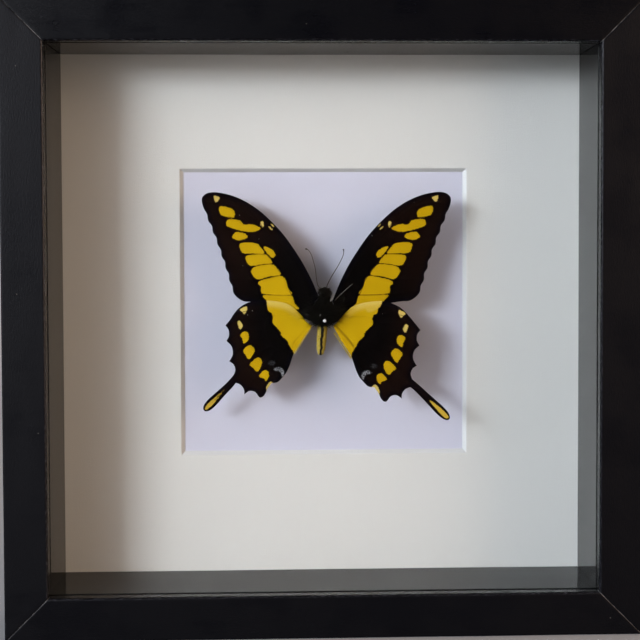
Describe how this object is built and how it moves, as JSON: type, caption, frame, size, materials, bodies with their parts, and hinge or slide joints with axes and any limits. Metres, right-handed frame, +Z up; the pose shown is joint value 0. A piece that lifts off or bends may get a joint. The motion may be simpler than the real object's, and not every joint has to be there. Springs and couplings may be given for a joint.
{
  "type": "framed butterfly specimen",
  "caption": "Square black box frame holding a pinned black and yellow swallowtail behind glass, raised off a pale backdrop inside a bevelled off-white mat.",
  "frame": {"origin": "middle of the frame's underside, half way between its front and back faces", "axes": "+X is the viewer's right, +Y runs from the glass to the back, +Z is up; the glazed front faces -Y"},
  "size_m": [0.25, 0.045, 0.25],
  "materials": {
    "rail_black": "matt black wrap on moulded wood",
    "clear_glass": "clear polished sheet",
    "spacer_black": "smooth black foil on board strip",
    "mat_card": "off-white mat board with a white bevel",
    "backdrop_paper": "matt pale lavender grey paper",
    "foam_board": "closed-cell pinning foam",
    "hardboard": "brown hardboard",
    "zinc_steel": "zinc plated",
    "wing_scales": "brown-black wing scales with yellow spots",
    "body_hair": "dry chitin with black and yellow hair",
    "antenna_horn": "dark dry chitin",
    "pin_enamel": "steel pin with a small pale head"
  },
  "bodies": {
    "root": {"rail_bottom": "rail_black", "rail_left": "rail_black", "rail_top": "rail_black", "rail_right": "rail_black", "glazing": "clear_glass", "spacer_bottom": "spacer_black", "spacer_top": "spacer_black", "spacer_left": "spacer_black", "spacer_right": "spacer_black", "mat_board": "mat_card", "backdrop_sheet": "backdrop_paper", "pinning_board": "foam_board", "backing_board": "hardboard", "tab_bottom_1": "zinc_steel", "tab_bottom_2": "zinc_steel", "tab_left_1": "zinc_steel", "tab_left_2": "zinc_steel", "tab_top_1": "zinc_steel", "tab_top_2": "zinc_steel", "tab_right_1": "zinc_steel", "tab_right_2": "zinc_steel", "hanger_plate": "zinc_steel", "rivet_left": "zinc_steel", "rivet_right": "zinc_steel", "body": "body_hair", "forewing_left": "wing_scales", "forewing_right": "wing_scales", "hindwing_left": "wing_scales", "hindwing_right": "wing_scales", "antenna_left": "antenna_horn", "antenna_right": "antenna_horn", "specimen_pin": "pin_enamel"}
  },
  "joints": []
}
